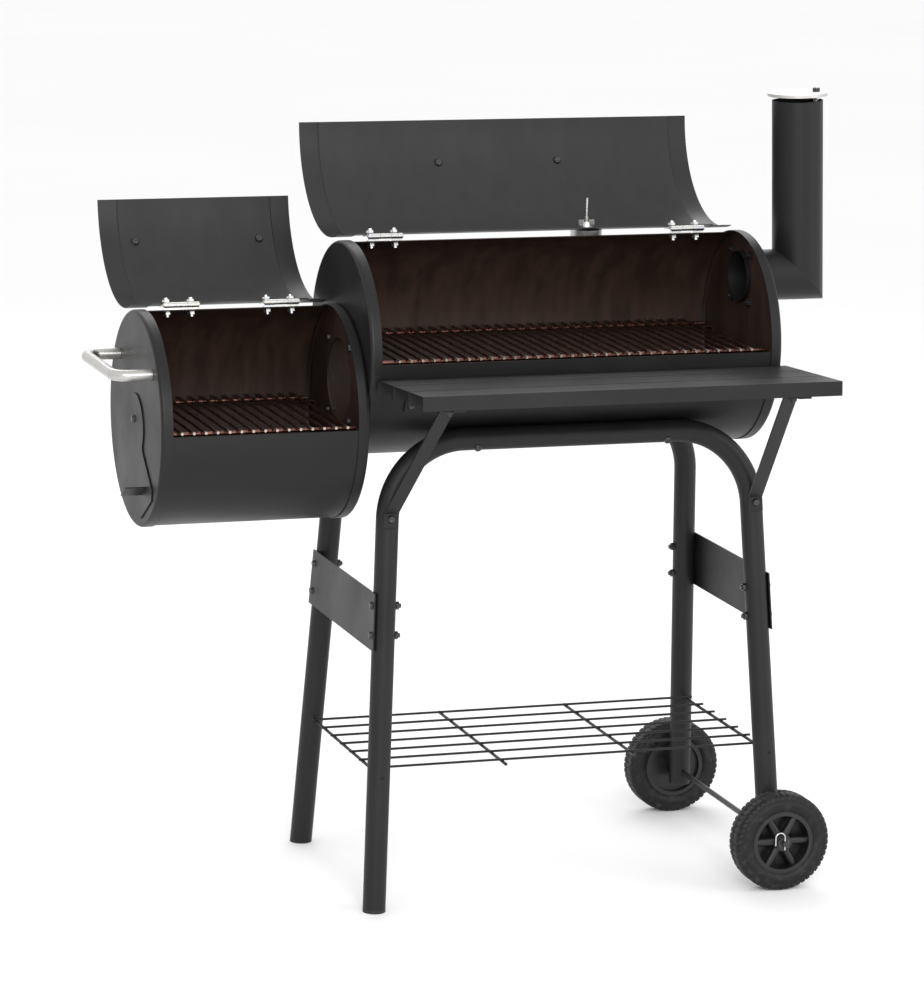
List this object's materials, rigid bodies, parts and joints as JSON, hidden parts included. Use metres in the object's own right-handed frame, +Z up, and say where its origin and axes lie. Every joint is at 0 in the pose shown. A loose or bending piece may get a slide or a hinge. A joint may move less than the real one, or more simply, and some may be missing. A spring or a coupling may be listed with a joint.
{
  "type": "offset smoker",
  "caption": "Barrel smoker with a side firebox, hinged lids, chimney, front shelf and a splayed tube frame on two feet and two wheels.",
  "frame": {"origin": "on the ground, below the middle of the whole object's box as it stands with its lids open", "axes": "+Z up, +X along the chambers towards the chimney, -Y towards the front where the cook stands"},
  "size_m": [1.0769, 0.6375, 1.1163],
  "materials": {
    "chamber_paint": "satin high-heat paint",
    "frame_paint": "satin powder coat",
    "handle_steel": "brushed",
    "zinc": "bright zinc plate",
    "black_fastener": "black zinc",
    "grate_chrome": "chrome plated wire, dulled by heat",
    "dial_case": "satin",
    "dial_glass": "clear",
    "dial_needle": "gloss",
    "plug_plastic": "moulded",
    "wheel_plastic": "moulded, slightly glossy",
    "tyre_rubber": "moulded, matte"
  },
  "bodies": {
    "cart": {"main_barrel": "chamber_paint", "main_left_cap": "chamber_paint", "main_right_cap": "chamber_paint", "firebox_barrel": "chamber_paint", "firebox_left_cap": "chamber_paint", "firebox_right_cap": "chamber_paint", "barrel_leaves": "zinc", "hinge_pins": "zinc", "barrel_hinge_bolts": "zinc", "barrel_hinge_nuts": "zinc", "grate_lugs": "chamber_paint", "flue_elbow": "chamber_paint", "chimney_stack": "chamber_paint", "rain_cap_post": "zinc", "damper_bolt": "black_fastener", "end_handle": "handle_steel", "end_handle_screws": "black_fastener", "chamber_bolts": "black_fastener", "chamber_nuts": "black_fastener", "shelf_boards": "frame_paint", "shelf_rails": "frame_paint", "left_brace": "frame_paint", "right_brace": "frame_paint", "front_frame": "frame_paint", "rear_frame": "frame_paint", "left_legs": "frame_paint", "right_legs": "frame_paint", "leg_plugs": "plug_plastic", "side_plates": "frame_paint", "frame_bolts": "black_fastener", "frame_nuts": "black_fastener", "bottom_rack": "frame_paint", "axle": "black_fastener", "axle_washers": "black_fastener", "axle_clips": "zinc"},
    "chamber_lid": {"main_lid": "chamber_paint", "main_lid_handle": "handle_steel", "main_lid_screws": "black_fastener", "main_lid_leaves": "zinc", "main_lid_bolts": "zinc", "main_lid_nuts": "zinc", "thermometer_case": "dial_case", "thermometer_glass": "dial_glass", "thermometer_needle": "dial_needle", "thermometer_stem": "zinc", "thermometer_wing_nut": "zinc"},
    "firebox_lid": {"firebox_lid": "chamber_paint", "firebox_lid_handle": "handle_steel", "firebox_lid_screws": "black_fastener", "firebox_lid_leaves": "zinc", "firebox_lid_bolts": "zinc", "firebox_lid_nuts": "zinc"},
    "chamber_grate": {"main_grate": "grate_chrome"},
    "fire_grate": {"firebox_grate": "grate_chrome"},
    "rain_cap": {"rain_cap": "handle_steel"},
    "damper": {"damper_plate": "chamber_paint"},
    "front_wheel": {"front_wheel": "wheel_plastic", "front_tyre": "tyre_rubber"},
    "rear_wheel": {"rear_wheel": "wheel_plastic", "rear_tyre": "tyre_rubber"}
  },
  "joints": [
    {"name": "chamber_lid_hinge", "type": "hinge", "parent": "cart", "child": "chamber_lid", "pos_m": [0.114, 0.07655, 0.91263], "axis": [1, 0, 0], "range_deg": [0, 185]},
    {"name": "firebox_lid_hinge", "type": "hinge", "parent": "cart", "child": "firebox_lid", "pos_m": [0.114, 0.07655, 0.82413], "axis": [1, 0, 0], "range_deg": [0, 190]},
    {"name": "damper_pivot", "type": "hinge", "parent": "cart", "child": "damper", "pos_m": [-0.4805, 0.038, 0.674], "axis": [-1, 0, 0], "range_deg": [-62, 32]},
    {"name": "rain_cap_pivot", "type": "hinge", "parent": "cart", "child": "rain_cap", "pos_m": [0.52072, 0.047, 1.09836], "axis": [-0.0349, 0, 0.9994], "range_deg": [0, 150]},
    {"name": "front_wheel_spin", "type": "hinge", "parent": "cart", "child": "front_wheel", "pos_m": [0.40728, 0.038, 0.0705], "axis": [0, 1, 0], "continuous": true},
    {"name": "rear_wheel_spin", "type": "hinge", "parent": "cart", "child": "rear_wheel", "pos_m": [0.40728, 0.038, 0.0705], "axis": [0, 1, 0], "continuous": true},
    {"name": "chamber_grate_lift", "type": "slide", "parent": "cart", "child": "chamber_grate", "axis": [0, 0.8192, -0.5736], "range_m": [-0.34, 0]},
    {"name": "fire_grate_lift", "type": "slide", "parent": "cart", "child": "fire_grate", "axis": [0, 0.8192, -0.5736], "range_m": [-0.34, 0]}
  ]
}
